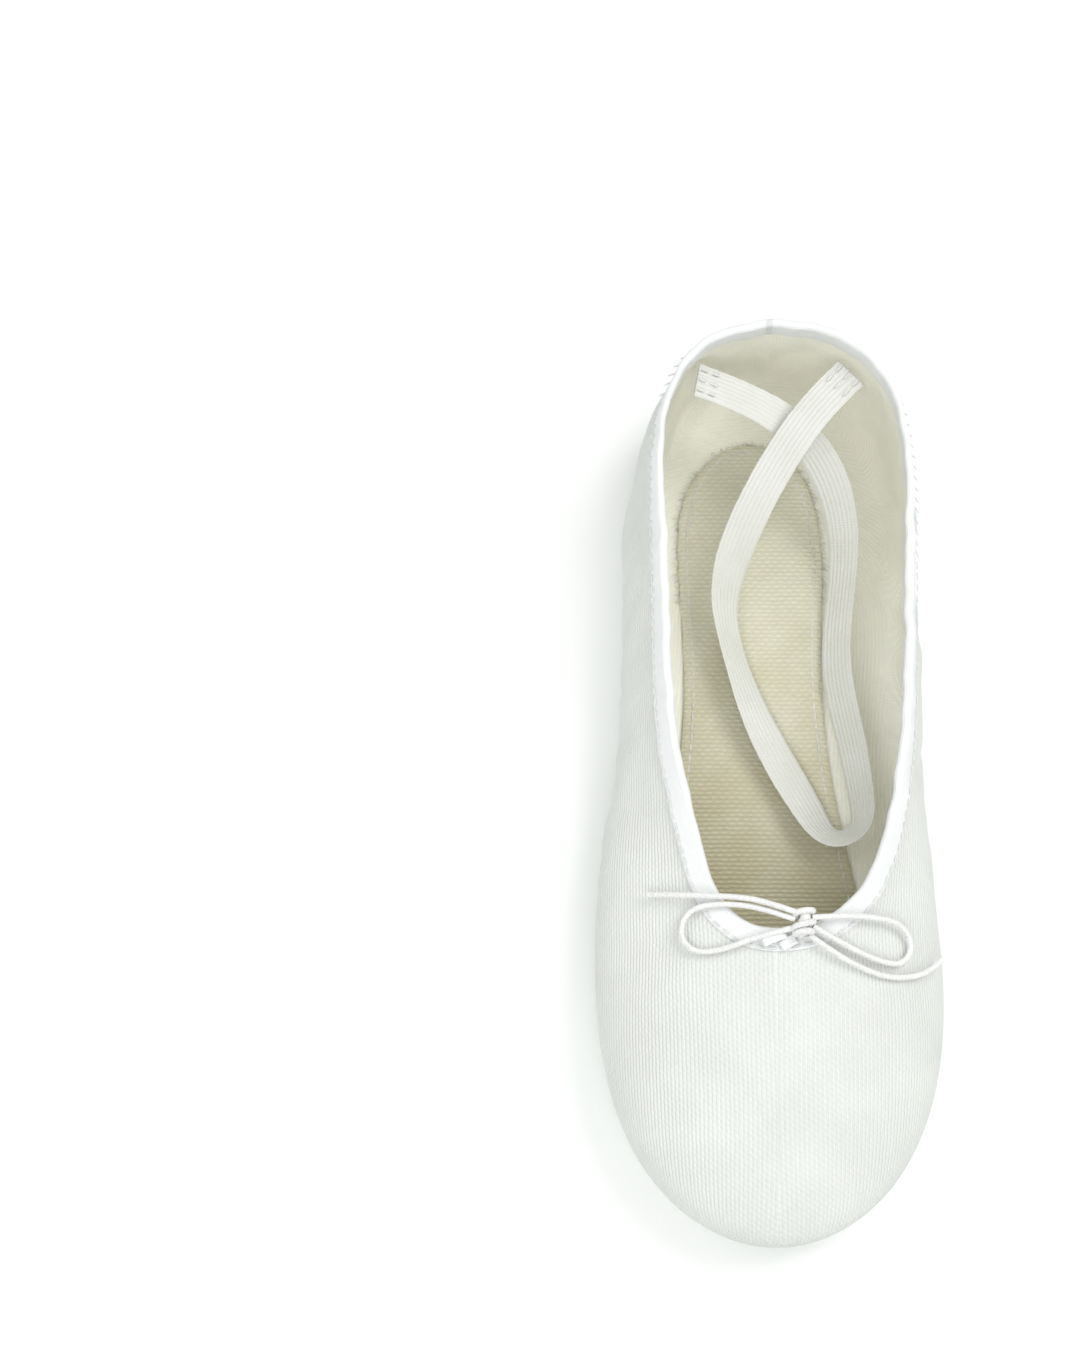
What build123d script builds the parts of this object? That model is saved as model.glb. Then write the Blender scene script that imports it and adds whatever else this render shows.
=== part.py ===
from build123d import *
import os
from math import atan2, cos, hypot, pi, radians, sin, tan

# Canvas ballet slipper with a split suede sole, a drawstring collar and a crossed elastic.
# Millimetres. +Z is up, the toe points to -Y and the heel to +Y. The two suede patches
# stand on Z = 0, and the origin is under the middle of the slipper.

os.makedirs("parts", exist_ok=True)

# ---- driving dimensions ----
SUEDE = 1.3  # thickness of the sole patches
CANVAS = 0.9  # outer cloth
LINING = 0.7  # inner cloth
INSOLE = 1.2
AIR = 0.1  # gap left between two plies
REST_AIR = 0.3  # gap left between the heel's own pieces and the cloth that bends with them
BINDING = 0.45  # thickness of the collar tape
BINDING_LEG = 4.0  # how far the tape reaches down each side of the wall
CORD = 1.5  # drawstring diameter
ELASTIC_WIDTH = 10.0
ELASTIC_THICKNESS = 0.9
STITCH_PITCH = 3.1
STITCH = (2.3, 0.5, 0.35)  # length, width and height of one stitch

HEEL_TOP = 52.0  # height of the wall's edge at the heel and at the throat
THROAT_TOP = 38.5
BELLY_HEIGHT = 17.0  # height of the wall's widest line
FLOOR_INSET = 14.0  # the bottom lies flat as far as this inside the widest line
SEAM_HALF = 0.3  # half the gap of the arch seam

# Plan of the wall's widest line, and of the wall's upper edge
BELLY_PLAN = [
    (0, -123.5), (-21, -116.5), (-37, -97), (-44.5, -69), (-45, -38), (-40.5, -6), (-37, 28),
    (-36, 62), (-32.5, 92), (-19, 114.5), (5, 122.5), (29, 114.5), (41.5, 92), (44.5, 62),
    (43.5, 25), (44, -10), (45.5, -44), (42, -84), (24, -114),
]
EDGE_PLAN = [
    (2, -49), (-7, -47.5), (-14.5, -41), (-20.5, -24), (-25.5, 0), (-27.5, 33),
    (-28, 66), (-26.5, 94), (-17, 112), (1, 119), (18, 117.5), (32.5, 108), (40, 87), (40, 54),
    (38, 16), (33, -16), (25, -36), (14, -46),
]

# Sole patches are eggs: centre, length, width and taper towards the arch
FOREFOOT_EGG = (0.0, -65.0, 78.0, 68.0, 0.10)
HEEL_EGG = (4.0, 67.5, 46.0, 38.0, -0.14)
INNER_EGG = (0.0, -68.0, 48.0, 34.0, 0.14)
FOREFOOT_HOLE = 8.0  # how far the patches overlap the cloth
HEEL_HOLE = 6.0


def egg(shape, inset=0.0, samples=16):
    """Points of an egg outline, drawn in by an inset."""
    x, y, length, width, taper = shape
    turns = [2 * pi * i / samples for i in range(samples)]
    return [
        (
            x + (width / 2 - inset) * cos(turn) * (1 - taper * sin(turn)),
            y + (length / 2 - inset) * sin(turn),
        )
        for turn in turns
    ]


def sampled(points, samples=720):
    """Fine points along the closed smooth curve through a few points."""
    curve = Spline(*points, periodic=True)
    places = [curve @ (i / samples) for i in range(samples + 1)]
    return [(place.X, place.Y) for place in places]


def reach(curve, hub, angle):
    """Distance from a hub to the farthest crossing of a plan curve along an angle."""
    ahead, side = (cos(angle), sin(angle)), (-sin(angle), cos(angle))
    farthest = 0.0
    for a, b in zip(curve, curve[1:]):
        off_a = (a[0] - hub[0]) * side[0] + (a[1] - hub[1]) * side[1]
        off_b = (b[0] - hub[0]) * side[0] + (b[1] - hub[1]) * side[1]
        if off_a * off_b <= 0 and off_a != off_b:
            share = off_a / (off_a - off_b)
            x, y = a[0] + share * (b[0] - a[0]), a[1] + share * (b[1] - a[1])
            farthest = max(farthest, (x - hub[0]) * ahead[0] + (y - hub[1]) * ahead[1])
    return farthest


def bezier(p, t):
    """Point and direction of a cubic Bezier curve in a plane."""
    u = 1 - t
    weights = (u**3, 3 * u * u * t, 3 * u * t * t, t**3)
    slopes = (-3 * u * u, 3 * u * u - 6 * u * t, 6 * u * t - 3 * t * t, 3 * t * t)
    point = [sum(w * q[k] for w, q in zip(weights, p)) for k in (0, 1)]
    slope = [sum(w * q[k] for w, q in zip(slopes, p)) for k in (0, 1)]
    return point, slope


def moved(controls, depth):
    """Control points of a cubic in a plane, moved sideways to draw its parallel curve."""
    sides = []
    for a, b in zip(controls, controls[1:]):
        size = hypot(b[0] - a[0], b[1] - a[1])
        sides.append(((b[1] - a[1]) / size, (a[0] - b[0]) / size))
    result = []
    for point, before, after in zip(controls, sides[:1] + sides, sides + sides[-1:]):
        mitre = depth / (1 + before[0] * after[0] + before[1] * after[1])
        result.append(tuple(point[k] + mitre * (before[k] + after[k]) for k in (0, 1)))
    return result


def first_part(controls, t):
    """Control points of a cubic's first part, up to t."""
    kept, points = [], list(controls)
    while points:
        kept.append(points[0])
        points = [
            tuple((1 - t) * a[k] + t * b[k] for k in (0, 1)) for a, b in zip(points, points[1:])
        ]
    return kept


BELLY = sampled(BELLY_PLAN)
EDGE = sampled(EDGE_PLAN)
FOREFOOT_EDGE = sampled(egg(FOREFOOT_EGG, FOREFOOT_HOLE))
HEEL_EDGE = sampled(egg(HEEL_EGG, HEEL_HOLE))
TOE_HUB = (FOREFOOT_EGG[0], FOREFOOT_EGG[1] + FOREFOOT_EGG[2] / 2 - FOREFOOT_HOLE)
HEEL_HUB = (HEEL_EGG[0], HEEL_EGG[1] - HEEL_EGG[2] / 2 + HEEL_HOLE)
FLOOR = SUEDE + REST_AIR  # underside of the canvas


class Station:
    """One upright section of the wall, in a plane that leaves the centre line at an angle.

    Along the section, 0 to 1 runs flat from the hole under a patch or the arch seam, 1 to 2
    turns up to the widest line, and 2 to 3 rises to the edge. Depth is positive outwards.
    """

    def __init__(self, hub, angle):
        self.plane = Plane(
            origin=(hub[0], hub[1], 0),
            x_dir=(cos(angle), sin(angle), 0),
            z_dir=(sin(angle), -cos(angle), 0),
        )
        wide = reach(BELLY, hub, angle)
        top = reach(EDGE, hub, angle)
        hole = max(reach(FOREFOOT_EDGE, hub, angle), reach(HEEL_EDGE, hub, angle), SEAM_HALF)
        flat = max(wide - FLOOR_INSET, hole + 1)
        back = (hub[1] + top * sin(angle) - EDGE_PLAN[0][1]) / (EDGE_PLAN[9][1] - EDGE_PLAN[0][1])
        height = THROAT_TOP + (HEEL_TOP - THROAT_TOP) * max(back, 0) ** 1.6
        lean = atan2(height - BELLY_HEIGHT, wide - top)
        slope = max(radians(6), 1.3 * lean - radians(27))
        pull = 0.42 * hypot(wide - top, height - BELLY_HEIGHT)
        rise = BELLY_HEIGHT - FLOOR
        self.bottom = (hole, flat)
        self.turn = (
            (flat, FLOOR),
            (flat + 0.55 * (wide - flat), FLOOR),
            (wide, FLOOR + 0.4 * rise),
            (wide, BELLY_HEIGHT),
        )
        self.wall = (
            (wide, BELLY_HEIGHT),
            (wide, BELLY_HEIGHT + 0.5 * (height - BELLY_HEIGHT)),
            (top + pull * cos(slope), height - pull * sin(slope)),
            (top, height),
        )
        self.pull = pull

    def at(self, t, depth=0.0):
        """Point and direction of the section at t, moved out by a depth."""
        if t <= 1:
            hole, flat = self.bottom
            point, slope = (hole + t * (flat - hole), FLOOR), (1.0, 0.0)
        elif t <= 2:
            point, slope = bezier(self.turn, t - 1)
        else:
            point, slope = bezier(self.wall, t - 2)
        size = hypot(*slope)
        along = (slope[0] / size, slope[1] / size)
        return (point[0] + depth * along[1], point[1] - depth * along[0]), along

    def draw(self, depth, first, last):
        """Line along the section at a depth: its flat, its turn and its wall."""
        hole, flat = self.bottom
        start = (hole + first * (flat - hole), FLOOR - depth)
        turn, wall = moved(self.turn, depth), first_part(moved(self.wall, depth), last)
        Line(start, turn[0])
        Bezier(*turn)
        Bezier(turn[-1], *wall[1:])
        return start, wall[-1]

    def below_edge(self, distance):
        """Where along the section a point lies this far below the edge."""
        return 3 - distance / (3 * self.pull)

    def past_edge(self, distance, depth):
        """Point straight past the edge, in line with the wall."""
        point, along = self.at(3, depth)
        return (point[0] + distance * along[0], point[1] + distance * along[1])

    def outside(self, t, depth):
        """Plane that lies on the wall, with X along the section and Z outwards."""
        (r, z), (dr, dz) = self.at(t, depth)
        outward = self.plane.x_dir
        up = Vector(0, 0, 1)
        return Plane(
            origin=self.plane.origin + outward * r + up * z,
            x_dir=outward * dr + up * dz,
            z_dir=outward * dz - up * dr,
        )


def side_of_wall(side, toe_steps=11, arch_steps=7, heel_steps=8):
    """Stations down one side (-1 or 1), after the middle of the toe and before the heel's."""
    across = 0 if side > 0 else -pi
    toe_turn, heel_turn = across + pi / 2, side * pi / 2
    toe = [Station(TOE_HUB, -pi / 2 + toe_turn * i / toe_steps) for i in range(1, toe_steps)]
    hubs = [
        [a + (b - a) * i / arch_steps for a, b in zip(TOE_HUB, HEEL_HUB)]
        for i in range(arch_steps + 1)
    ]
    arch = [Station(hub, across) for hub in hubs]
    heel = [Station(HEEL_HUB, across + heel_turn * i / heel_steps) for i in range(1, heel_steps)]
    return toe + arch + heel


def toe_station(offset=0.0):
    return Station((TOE_HUB[0] + offset, TOE_HUB[1]), -pi / 2)


def heel_station(offset=0.0):
    return Station((HEEL_HUB[0] + offset, HEEL_HUB[1]), pi / 2)


LEFT, RIGHT = side_of_wall(-1), side_of_wall(1)
# Cloth and tape go from the seam at the back of the heel round the toe to that seam again
WALL_RING = [
    heel_station(SEAM_HALF), *RIGHT[::-1], toe_station(), *LEFT, heel_station(-SEAM_HALF)
]
# The drawstring starts and ends at the knot, a little right of the middle of the throat
CORD_RING = [RIGHT[1], RIGHT[0], toe_station(), *LEFT, heel_station(), *RIGHT[:3:-1]]


def ply(station, outer, inner, first=0, last=1):
    """Section of one layer of cloth between two depths, whole or from first to last."""
    with BuildSketch(station.plane) as section:
        with BuildLine():
            face = station.draw(outer, first, last)
            back = station.draw(inner, first, last)
            Line(face[0], back[0])
            Line(face[1], back[1])
        make_face()
    return section.sketch


CANVAS_BACK = -CANVAS
LINING_FACE = CANVAS_BACK - AIR
LINING_BACK = LINING_FACE - LINING
WALL_MIDDLE = LINING_BACK / 2
CORD_PAST_EDGE = CORD / 2 + AIR

# ---- upper ----
with BuildPart() as upper_canvas:
    loft([ply(station, 0, CANVAS_BACK) for station in WALL_RING])

with BuildPart() as upper_lining:
    loft([ply(station, LINING_FACE, LINING_BACK) for station in WALL_RING])


def fold(station, outer, inner):
    """Outline of a fold over the edge of the wall: two straight legs and a round top."""
    start = station.below_edge(BINDING_LEG)
    radius = (outer - inner) / 2
    outside = station.past_edge(CORD_PAST_EDGE, outer)
    inside = station.past_edge(CORD_PAST_EDGE, inner)
    Line(station.at(start, outer)[0], outside)
    Bezier(
        outside,
        station.past_edge(CORD_PAST_EDGE + radius * 4 / 3, outer),
        station.past_edge(CORD_PAST_EDGE + radius * 4 / 3, inner),
        inside,
    )
    Line(inside, station.at(start, inner)[0])
    return station.at(start, outer)[0], station.at(start, inner)[0]


def binding_section(station):
    """Tape folded over the edge of the wall, with a round channel for the drawstring."""
    with BuildSketch(station.plane) as section:
        with BuildLine():
            face = fold(station, AIR + BINDING, LINING_BACK - AIR - BINDING)
            back = fold(station, AIR, LINING_BACK - AIR)
            Line(face[0], back[0])
            Line(face[1], back[1])
        make_face()
    return section.sketch


def bend_radii(route):
    """As large a bend at each corner of a cord's route as its two runs allow."""
    radii = []
    for before, corner, after in zip(route, route[1:], route[2:]):
        run_in, run_out = Vector(*corner) - Vector(*before), Vector(*after) - Vector(*corner)
        half_turn = radians(run_in.get_angle(run_out)) / 2
        radii.append(0.45 * min(run_in.length, run_out.length) / tan(half_turn))
    return radii


def cord_tube(name, route):
    """Round cord along straight runs joined by bends, added to the part being built."""
    radii = bend_radii(route)
    with BuildLine() as path:
        FilletPolyline(*route, radius=radii)
    line = path.wire()
    with BuildSketch(Plane(origin=line @ 0, z_dir=line % 0)) as section:
        Circle(CORD / 2)
    tube = sweep(section.sketch, path=line)
    share = tube.volume / (section.sketch.area * line.length)
    print(name, "bend radii", [round(radius, 1) for radius in radii])
    print(name, "length", round(line.length, 1), "volume over section times length", round(share, 3))


def in_fold(station):
    """Middle of the drawstring's channel at a station."""
    r, z = station.past_edge(CORD_PAST_EDGE, WALL_MIDDLE)
    return station.plane.origin + station.plane.x_dir * r + Vector(0, 0, z)


with BuildPart() as collar_binding:
    loft([binding_section(station) for station in WALL_RING])

with BuildPart() as drawstring:
    cord_tube("drawstring", [tuple(in_fold(station)) for station in CORD_RING])

# ---- sole ----
INSOLE_FLOOR = FLOOR - LINING_BACK + REST_AIR
INSOLE_PLAN = [
    (1, 105), (13, 100), (19.5, 86), (21, 66), (19.5, 36), (21, 4), (27, -34), (29.5, -66),
    (21, -93), (0, -101), (-22, -93), (-30, -66), (-27, -34), (-21.5, 2), (-19, 36),
    (-20, 68), (-15.5, 93),
]


def egg_plate(shape, inset, low, high, mode=Mode.ADD):
    """Flat egg between two heights, added to or cut from the part being built."""
    with BuildSketch(Plane.XY.offset(low)) as outline:
        with BuildLine():
            Spline(*egg(shape, inset), periodic=True)
        make_face()
    extrude(outline.sketch, high - low, dir=(0, 0, 1), mode=mode)


GROOVE = (0.9, 0.5)  # width and depth of the channel that a stitch line sinks into


def groove(shape, inset):
    """Channel round a patch: cut a shallow egg, then fill all but its rim."""
    egg_plate(shape, inset - GROOVE[0] / 2, 0, GROOVE[1], Mode.SUBTRACT)
    egg_plate(shape, inset + GROOVE[0] / 2, 0, GROOVE[1])


FOREFOOT_STITCH_INSET = 2.8
HEEL_STITCH_INSET = 2.6

with BuildPart() as forefoot_sole_patch:
    egg_plate(FOREFOOT_EGG, 0, 0, SUEDE)
    groove(FOREFOOT_EGG, FOREFOOT_STITCH_INSET)
    groove(INNER_EGG, 0)

with BuildPart() as heel_sole_patch:
    egg_plate(HEEL_EGG, 0, 0, SUEDE)
    groove(HEEL_EGG, HEEL_STITCH_INSET)

with BuildPart() as forefoot_pad:
    egg_plate(FOREFOOT_EGG, FOREFOOT_HOLE + 1, FLOOR, INSOLE_FLOOR - REST_AIR)

with BuildPart() as heel_pad:
    egg_plate(HEEL_EGG, HEEL_HOLE + 1, FLOOR, INSOLE_FLOOR - REST_AIR)

with BuildPart() as insole:
    with BuildSketch(Plane.XY.offset(INSOLE_FLOOR)):
        with BuildLine():
            Spline(*INSOLE_PLAN, periodic=True)
        make_face()
    extrude(amount=INSOLE)

STRIP_WIDTH = 15.0
STRIP = 0.6
STRIP_START = 0.35  # shares of the flat and of the wall where the strip begins and ends
STRIP_END = 0.75

with BuildPart() as heel_strip:
    rows = [heel_station(STRIP_WIDTH * (i / 4 - 0.5)) for i in range(5)]
    loft([ply(row, REST_AIR + STRIP, REST_AIR, STRIP_START, STRIP_END) for row in rows])

# ---- stitching ----


def egg_stitches(shape, inset):
    """Places of the stitches that follow an egg, lying in its groove."""
    line = Wire([Spline(*egg(shape, inset), periodic=True)])
    count = round(line.length / STITCH_PITCH)
    places = []
    for i in range(count):
        point, along = line @ (i / count), line % (i / count)
        height = GROOVE[1] - STITCH[2] / 2 - 0.05
        places.append(Plane(origin=(point.X, point.Y, height), x_dir=along, z_dir=(0, 0, 1)))
    return places


with BuildPart() as forefoot_stitching:
    with Locations(*egg_stitches(FOREFOOT_EGG, FOREFOOT_STITCH_INSET)):
        Box(*STITCH)

with BuildPart() as forefoot_inner_stitching:
    with Locations(*egg_stitches(INNER_EGG, 0)):
        Box(*STITCH)

with BuildPart() as heel_stitching:
    with Locations(*egg_stitches(HEEL_EGG, HEEL_STITCH_INSET)):
        Box(*STITCH)

ARCH_ROW = 1.5  # each row of the arch seam, from its middle
ARCH_ENDS = (-24.0, 42.0)


def arch_stitches():
    """Places of the two rows beside the seam under the arch."""
    count = int((ARCH_ENDS[1] - ARCH_ENDS[0]) / STITCH_PITCH)
    height = FLOOR - REST_AIR - STITCH[2] / 2
    for side in (-ARCH_ROW, ARCH_ROW):
        for i in range(count):
            y = ARCH_ENDS[0] + (i + 0.5) * STITCH_PITCH
            share = (y - TOE_HUB[1]) / (HEEL_HUB[1] - TOE_HUB[1])
            x = TOE_HUB[0] + share * (HEEL_HUB[0] - TOE_HUB[0]) + side
            yield Plane(origin=(x, y, height), x_dir=(0, 1, 0), z_dir=(0, 0, 1))


with BuildPart() as arch_seam_stitching:
    with Locations(*arch_stitches()):
        Box(*STITCH)

STRIP_ROW = 1.5  # each row on the heel strip, inside its edge
STRIP_STITCHES = 17


def strip_stitches():
    """Places of the two rows that run up the heel strip."""
    lift = REST_AIR + STRIP + AIR + STITCH[2] / 2
    for side in (-1, 1):
        station = heel_station(side * (STRIP_WIDTH / 2 - STRIP_ROW))
        for i in range(STRIP_STITCHES):
            yield station.outside(0.5 + 2.2 * (i + 0.5) / STRIP_STITCHES, lift)


with BuildPart() as heel_strip_stitching:
    with Locations(*strip_stitches()):
        Box(*STITCH)

# ---- elastic ----
# Each point of the loop has its place and its roll: 0 lies flat and 90 stands on edge
ELASTIC_PATH = [
    ((26, 107.5, 45), 0), ((17, 99, 41.5), 0), ((5.5, 84, 34.5), -3), ((-4, 67, 24.5), -14),
    ((-8, 51, 16), -38), ((-5, 35, 11.5), -42), ((0.5, 19, 9.5), -26), ((7.5, 4, 9), -15),
    ((14, -8.5, 9.6), -25), ((20.2, -15.6, 10.8), -46), ((26, -14, 12), -58), ((27.8, -4, 12.2), -56),
    ((25.5, 14, 11.5), -48), ((23, 33, 11.2), -45), ((24.2, 51, 13), -45), ((25.5, 67, 18), -42),
    ((22, 83, 25.5), -28), ((13, 95, 32), -10), ((-1, 102, 38.5), 0), ((-16.5, 105.5, 45), 0),
]


def elastic_section(index):
    """Cut across the band at one point of its path."""
    point, roll = ELASTIC_PATH[index]
    before = ELASTIC_PATH[max(index - 1, 0)][0]
    after = ELASTIC_PATH[min(index + 1, len(ELASTIC_PATH) - 1)][0]
    along = (Vector(*after) - Vector(*before)).normalized()
    left = Vector(0, 0, 1).cross(along).normalized()
    up = along.cross(left)
    across = left * cos(radians(roll)) + up * sin(radians(roll))
    with BuildSketch(Plane(origin=point, x_dir=across, z_dir=along)) as section:
        Rectangle(ELASTIC_WIDTH, ELASTIC_THICKNESS)
    return section.sketch


with BuildPart() as elastic_loop:
    loft([elastic_section(i) for i in range(len(ELASTIC_PATH))])


def elastic_tack(first, second):
    """Places of two rows of stitches across a sewn end of the band."""
    start, along = Vector(*ELASTIC_PATH[first][0]), Vector(*ELASTIC_PATH[second][0])
    along = (along - start).normalized()
    across = Vector(0, 0, 1).cross(along).normalized()
    up = along.cross(across)
    lift = ELASTIC_THICKNESS / 2 + REST_AIR + STITCH[2] / 2
    for row in (1.5, 5.0):
        for side in (-STITCH_PITCH, 0, STITCH_PITCH):
            place = start + along * row + across * side + up * lift
            yield Plane(origin=place, x_dir=along, z_dir=up)


with BuildPart() as elastic_tack_right:
    with Locations(*elastic_tack(0, 1)):
        Box(*STITCH)

with BuildPart() as elastic_tack_left:
    with Locations(*elastic_tack(-1, -2)):
        Box(*STITCH)

# ---- rows of stitches on the collar and the insole ----
COLLAR_ROW = 3.2  # below the edge of the wall


def collar_stitches():
    """Places of the row that holds the outer leg of the binding."""
    lift = AIR + BINDING + REST_AIR + STITCH[2] / 2
    planes = [station.outside(station.below_edge(COLLAR_ROW), lift) for station in WALL_RING]
    row = Spline(*[plane.origin for plane in planes])
    count = int(row.length / STITCH_PITCH)
    for i in range(count):
        share = (i + 0.5) / count
        place = row @ share
        nearest = min(planes, key=lambda plane: (plane.origin - place).length)
        yield Plane(origin=place, x_dir=row % share, z_dir=nearest.z_dir)


with BuildPart() as collar_stitching:
    with Locations(*collar_stitches()):
        Box(*STITCH)

INSOLE_ROW = 2.5  # inside the edge of the insole
INSOLE_ROW_FRONT = -40.0  # the row stops under the vamp


def insole_stitches():
    """Places of the row round the top of the insole, behind the vamp."""
    line = insole.faces().sort_by(Axis.Z)[-1].outer_wire().offset_2d(-INSOLE_ROW)
    count = round(line.length / STITCH_PITCH)
    height = INSOLE_FLOOR + INSOLE + AIR + STITCH[2] / 2
    for i in range(count):
        place = line @ (i / count)
        if place.Y > INSOLE_ROW_FRONT:
            along = line % (i / count)
            yield Plane(origin=(place.X, place.Y, height), x_dir=along, z_dir=(0, 0, 1))


with BuildPart() as insole_stitching:
    with Locations(*insole_stitches()):
        Box(*STITCH)

# ---- bow ----
KNOT = (7.0, -46.6, 42.0)
KNOT_SIZE = (9.2, 5.0)  # length and thickness

LOOP_LEFT = [
    (4.9, -45.6, 41.8), (-3.5, -42.5, 41.8), (-12.5, -41.3, 41.3), (-20.2, -41.9, 39.9),
    (-23.6, -45.2, 38.5), (-23.7, -50.0, 37.8), (-20.2, -53.4, 38.2), (-13.3, -52.9, 39.3),
    (-4.5, -49.7, 40.8), (4.6, -47.7, 41.7),
]
TAIL_LEFT = [
    (5.3, -44.1, 43.1), (-3, -41.0, 43.1), (-11, -39.8, 42.5), (-19, -39.2, 40.9),
    (-26, -38.2, 37.9), (-32, -37.4, 34.6),
]
LOOP_RIGHT = [
    (9.2, -45.2, 42.2), (17, -44.4, 41.4), (24.8, -44.4, 39.2), (31.6, -44.9, 36.2),
    (35, -48.1, 34.5), (35.1, -52.7, 33.8), (31.6, -56.0, 34.8), (24.8, -54.8, 37.4),
    (17.3, -51.5, 39.5), (9.4, -47.4, 41.9),
]
TAIL_RIGHT = [
    (8.4, -49.4, 41.0), (15, -54.0, 39.9), (22, -57.4, 37.7), (29, -59.2, 35.2),
    (36, -58.4, 32.5), (41.2, -55.8, 30.6), (44, -52.8, 29.9),
]


with BuildPart() as bow_loop_left:
    cord_tube("left loop", LOOP_LEFT)

with BuildPart() as bow_loop_right:
    cord_tube("right loop", LOOP_RIGHT)

with BuildPart() as bow_tail_left:
    cord_tube("left tail", TAIL_LEFT)

with BuildPart() as bow_tail_right:
    cord_tube("right tail", TAIL_RIGHT)

with BuildPart() as bow_knot:
    with BuildSketch(Plane(origin=KNOT, x_dir=(0, 1, 0), z_dir=(0, 0, 1))) as half_knot:
        Ellipse(KNOT_SIZE[0] / 2, KNOT_SIZE[1] / 2)
        split(bisect_by=Plane.XZ, keep=Keep.TOP)
    revolve(axis=Axis(KNOT, (0, 1, 0)))

PIECES = {
    "upper_canvas": upper_canvas,
    "upper_lining": upper_lining,
    "collar_binding": collar_binding,
    "collar_stitching": collar_stitching,
    "drawstring": drawstring,
    "bow_knot": bow_knot,
    "bow_loop_left": bow_loop_left,
    "bow_loop_right": bow_loop_right,
    "bow_tail_left": bow_tail_left,
    "bow_tail_right": bow_tail_right,
    "insole": insole,
    "insole_stitching": insole_stitching,
    "forefoot_pad": forefoot_pad,
    "forefoot_sole_patch": forefoot_sole_patch,
    "forefoot_stitching": forefoot_stitching,
    "forefoot_inner_stitching": forefoot_inner_stitching,
    "arch_seam_stitching": arch_seam_stitching,
    "heel_pad": heel_pad,
    "heel_sole_patch": heel_sole_patch,
    "heel_stitching": heel_stitching,
    "heel_strip": heel_strip,
    "heel_strip_stitching": heel_strip_stitching,
    "elastic_loop": elastic_loop,
    "elastic_tack_left": elastic_tack_left,
    "elastic_tack_right": elastic_tack_right,
}

for name, piece in PIECES.items():
    piece.part.label = name
    export_step(piece.part, f"parts/{name}.step")
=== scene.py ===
import math

import bpy
import numpy as np
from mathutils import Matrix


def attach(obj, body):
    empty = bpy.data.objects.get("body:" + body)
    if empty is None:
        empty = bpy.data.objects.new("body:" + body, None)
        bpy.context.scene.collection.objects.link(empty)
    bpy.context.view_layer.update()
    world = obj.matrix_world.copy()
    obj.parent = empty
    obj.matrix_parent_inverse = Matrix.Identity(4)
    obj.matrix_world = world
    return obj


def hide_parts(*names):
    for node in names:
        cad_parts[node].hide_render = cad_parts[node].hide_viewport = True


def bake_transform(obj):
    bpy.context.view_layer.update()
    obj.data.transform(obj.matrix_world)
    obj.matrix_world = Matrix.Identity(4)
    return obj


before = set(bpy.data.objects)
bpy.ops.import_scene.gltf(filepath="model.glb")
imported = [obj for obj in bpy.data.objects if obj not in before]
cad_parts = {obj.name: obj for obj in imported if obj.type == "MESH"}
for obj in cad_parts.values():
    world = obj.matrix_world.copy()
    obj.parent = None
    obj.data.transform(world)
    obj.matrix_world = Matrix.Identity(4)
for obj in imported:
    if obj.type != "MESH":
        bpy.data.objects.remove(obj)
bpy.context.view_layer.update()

MM = 0.001
rng = np.random.default_rng(7)

# ---- the slipper's shape, in millimetres, as the CAD model has it ----
SUEDE = 1.3
CANVAS = 0.9
LINING = 0.7
INSOLE = 1.2
AIR = 0.1
REST_AIR = 0.3
BINDING = 0.45
BINDING_LEG = 4.0
CORD = 1.5
HEEL_TOP = 52.0
THROAT_TOP = 38.5
RISE_POWER = 1.6  # how late the edge climbs from the throat to the heel
BELLY_HEIGHT = 17.0
FLOOR_INSET = 14.0
SEAM_HALF = 0.05  # the CAD's slit under the arch, closed to a line
FLOOR = SUEDE + REST_AIR
LINING_FACE = -CANVAS - AIR
LINING_BACK = LINING_FACE - LINING
WALL_MIDDLE = LINING_BACK / 2
CORD_PAST_EDGE = CORD / 2 + AIR
INSOLE_FLOOR = FLOOR - LINING_BACK + REST_AIR

BELLY_PLAN = [
    (0, -123.5), (-21, -116.5), (-37, -97), (-44.5, -69), (-45, -38), (-40.5, -6), (-37, 28),
    (-36, 62), (-32.5, 92), (-19, 114.5), (5, 122.5), (29, 114.5), (41.5, 92), (44.5, 62),
    (43.5, 25), (44, -10), (45.5, -44), (42, -84), (24, -114),
]
EDGE_PLAN = [
    (2, -49), (-7, -47.5), (-14.5, -41), (-20.5, -24), (-25.5, 0), (-27.5, 33),
    (-28, 66), (-26.5, 94), (-17, 112), (1, 119), (18, 117.5), (32.5, 108), (40, 87), (40, 54),
    (38, 16), (33, -16), (25, -36), (14, -46),
]
EDGE_FRONT = -49
EDGE_LENGTH = 119 + 49
INSOLE_PLAN = [
    (1, 105), (13, 100), (19.5, 86), (21, 66), (19.5, 36), (21, 4), (27, -34), (29.5, -66),
    (21, -93), (0, -101), (-22, -93), (-30, -66), (-27, -34), (-21.5, 2), (-19, 36),
    (-20, 68), (-15.5, 93),
]
FOREFOOT_EGG = (0.0, -65.0, 78.0, 68.0, 0.10)
HEEL_EGG = (4.0, 67.5, 46.0, 38.0, -0.14)
INNER_EGG = (0.0, -68.0, 48.0, 34.0, 0.14)
FOREFOOT_HOLE = 8.0
HEEL_HOLE = 6.0


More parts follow.
